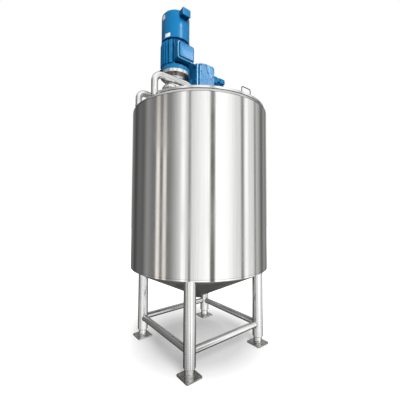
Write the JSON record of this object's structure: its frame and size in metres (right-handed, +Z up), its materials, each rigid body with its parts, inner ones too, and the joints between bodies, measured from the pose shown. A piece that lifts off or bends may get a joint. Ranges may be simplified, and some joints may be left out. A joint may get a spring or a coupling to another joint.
{
  "type": "jacketed mixing tank",
  "caption": "Upright jacketed stainless tank with a conical bottom on braced legs, a hinged lid flap, gooseneck pipes, an upright mixer motor and a gearbox drive.",
  "frame": {"origin": "on the tank's axis at floor level", "axes": "+Z up, +X along the fixed bridge that carries the drives, -Y towards the hinged lid flap"},
  "size_m": [1.3, 1.3, 3.0701],
  "materials": {
    "brushed_stainless": "polished to a soft mirror with long upright reflections",
    "dark_steel": "matte dark grey",
    "blue_paint": "satin blue machine enamel"
  },
  "bodies": {
    "tank": {"jacket_shell": "brushed_stainless", "shoulder_ring": "brushed_stainless", "bottom_ring": "brushed_stainless", "vessel_wall": "brushed_stainless", "rim_ring": "brushed_stainless", "leg_front": "brushed_stainless", "leg_right": "brushed_stainless", "leg_back": "brushed_stainless", "leg_left": "brushed_stainless", "foot_front": "brushed_stainless", "foot_right": "brushed_stainless", "foot_back": "brushed_stainless", "foot_left": "brushed_stainless", "brace_front_right": "brushed_stainless", "brace_right_back": "brushed_stainless", "brace_back_left": "brushed_stainless", "brace_left_front": "brushed_stainless", "bridge_plate": "brushed_stainless", "rear_lid": "brushed_stainless", "tall_gooseneck": "brushed_stainless", "low_gooseneck": "brushed_stainless", "nozzle_neck": "brushed_stainless", "nozzle_cap": "brushed_stainless", "mixer_neck": "brushed_stainless", "bottom_cone": "dark_steel", "outlet_stub": "dark_steel", "hinge_bracket_left": "dark_steel", "hinge_bracket_right": "dark_steel", "mixer_end_shield": "blue_paint", "mixer_motor_body": "blue_paint", "mixer_fan_cowl": "blue_paint", "mixer_terminal_box": "blue_paint", "mixer_box_cover": "blue_paint", "mixer_top_box": "blue_paint", "gearbox_foot": "blue_paint", "gearbox_housing": "blue_paint", "gearbox_cover": "blue_paint", "gearbox_block": "blue_paint", "gear_motor_body": "blue_paint", "gear_motor_cowl": "blue_paint"},
    "flap": {"front_flap": "brushed_stainless", "flap_handle": "brushed_stainless", "hinge_leaf_left": "brushed_stainless", "hinge_leaf_right": "brushed_stainless"}
  },
  "joints": [
    {"name": "flap_hinge", "type": "hinge", "parent": "tank", "child": "flap", "pos_m": [0, -0.192, 2.2279], "axis": [-1, 0, 0], "range_deg": [0, 85]}
  ]
}
